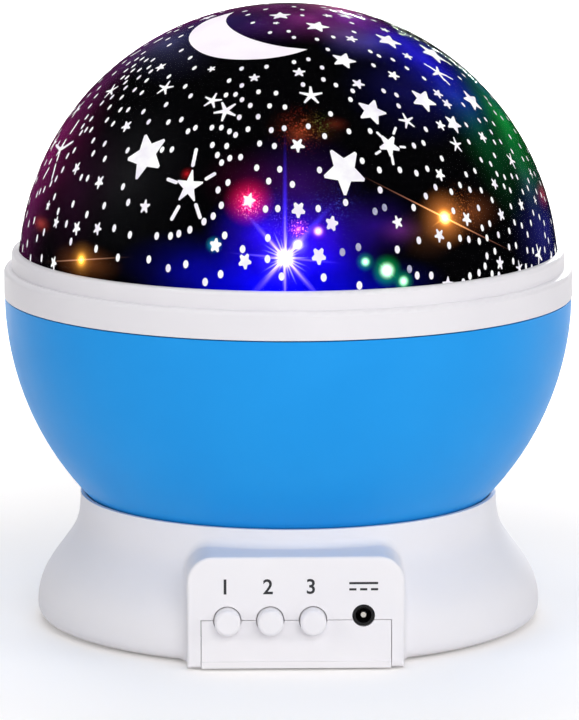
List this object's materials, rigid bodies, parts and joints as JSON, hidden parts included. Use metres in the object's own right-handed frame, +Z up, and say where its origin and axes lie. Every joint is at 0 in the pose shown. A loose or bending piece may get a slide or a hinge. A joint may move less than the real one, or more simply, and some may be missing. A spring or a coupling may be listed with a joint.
{
  "type": "night light projector",
  "caption": "Ball-shaped star night light: clear dome over a black star film and a blue bowl that turn on a flared white base with push buttons and a round power inlet.",
  "frame": {"origin": "centre of the footprint on the floor, under the ball's axis", "axes": "+Z up along the ball's turning axis, -Y towards the button panel, +X to the right seen from the panel side"},
  "size_m": [0.13, 0.13, 0.1416],
  "materials": {
    "clear_dome": "clear glossy",
    "star_print": "black printed film",
    "white_plastic": "semi-gloss moulded",
    "blue_plastic": "semi-gloss moulded",
    "white_pom": "self-lubricating, matte",
    "black_plastic": "matte moulded",
    "grey_plastic": "matte moulded",
    "screw_steel": "zinc plated",
    "spring_steel": "nickel plated",
    "brass": "tinned brass",
    "motor_steel": "drawn can",
    "rubber": "matte",
    "circuit_board": "solder mask",
    "cell_jacket": "plain printed jacket",
    "lead_insulation": "soft insulation",
    "capacitor_sleeve": "shrink sleeve",
    "led_white": "water clear lens",
    "led_red": "tinted lens",
    "led_green": "tinted lens",
    "led_blue": "tinted lens"
  },
  "bodies": {
    "base": {"base_shell": "white_plastic", "bottom_cover": "white_plastic", "cover_screws": "screw_steel", "rubber_feet": "rubber", "contact_plates": "spring_steel", "battery_springs": "spring_steel", "main_board": "circuit_board", "board_screws": "screw_steel", "control_chip": "black_plastic", "smoothing_capacitor": "capacitor_sleeve", "dc_jack": "black_plastic", "dc_jack_pin": "spring_steel", "centre_post": "white_pom", "post_screws": "screw_steel", "thrust_washer": "white_pom", "retaining_clip": "spring_steel", "motor_plate": "white_pom", "plate_screws": "screw_steel", "gearbox_case": "grey_plastic", "motor_can": "motor_steel", "motor_end_cap": "white_pom", "motor_terminals": "brass", "motor_screws": "screw_steel", "led_column": "white_plastic", "column_screws": "screw_steel", "led_board": "circuit_board", "led_board_screws": "screw_steel", "battery_leads": "lead_insulation", "motor_leads": "lead_insulation", "led_leads": "lead_insulation", "led_white": "led_white", "led_red": "led_red", "led_green": "led_green", "led_blue": "led_blue", "battery_cell_1": "cell_jacket", "battery_cell_2": "cell_jacket", "battery_cell_3": "cell_jacket", "battery_cell_4": "cell_jacket", "switch_body_1": "black_plastic", "switch_body_2": "black_plastic", "switch_body_3": "black_plastic"},
    "ball": {"bowl": "blue_plastic", "turntable_gear": "white_pom", "gear_screws": "screw_steel", "inner_deck": "white_plastic", "deck_screws": "screw_steel"},
    "cover": {"dome_cover": "clear_dome", "star_film": "star_print", "collar_ring": "white_plastic"},
    "pinion": {"drive_pinion": "white_pom", "motor_shaft": "motor_steel"},
    "battery_door": {"battery_door": "white_plastic"},
    "button_1": {"button_1": "white_plastic", "switch_plunger_1": "black_plastic"},
    "button_2": {"button_2": "white_plastic", "switch_plunger_2": "black_plastic"},
    "button_3": {"button_3": "white_plastic", "switch_plunger_3": "black_plastic"}
  },
  "joints": [
    {"name": "ball_spin", "type": "hinge", "parent": "base", "child": "ball", "pos_m": [0, 0, 0.025], "axis": [0, 0, 1], "continuous": true},
    {"name": "cover_lift", "type": "slide", "parent": "ball", "child": "cover", "axis": [0, 0, 1], "range_m": [0, 0.07]},
    {"name": "pinion_spin", "type": "hinge", "parent": "base", "child": "pinion", "pos_m": [0, 0.024, 0.03], "axis": [0, 0, 1], "continuous": true},
    {"name": "battery_door", "type": "hinge", "parent": "base", "child": "battery_door", "pos_m": [0, 0.0266, 0.0022], "axis": [1, 0, 0], "range_deg": [0, 95]},
    {"name": "button_1", "type": "slide", "parent": "base", "child": "button_1", "axis": [0, 1, 0], "range_m": [0, 0.0008], "stiffness_N_per_m": 1200, "springref_m": -0.0003},
    {"name": "button_2", "type": "slide", "parent": "base", "child": "button_2", "axis": [0, 1, 0], "range_m": [0, 0.0008], "stiffness_N_per_m": 1200, "springref_m": -0.0003},
    {"name": "button_3", "type": "slide", "parent": "base", "child": "button_3", "axis": [0, 1, 0], "range_m": [0, 0.0008], "stiffness_N_per_m": 1200, "springref_m": -0.0003}
  ],
  "couplings": [
    {"joint": "pinion_spin", "follows": "ball_spin", "ratio": -3}
  ]
}
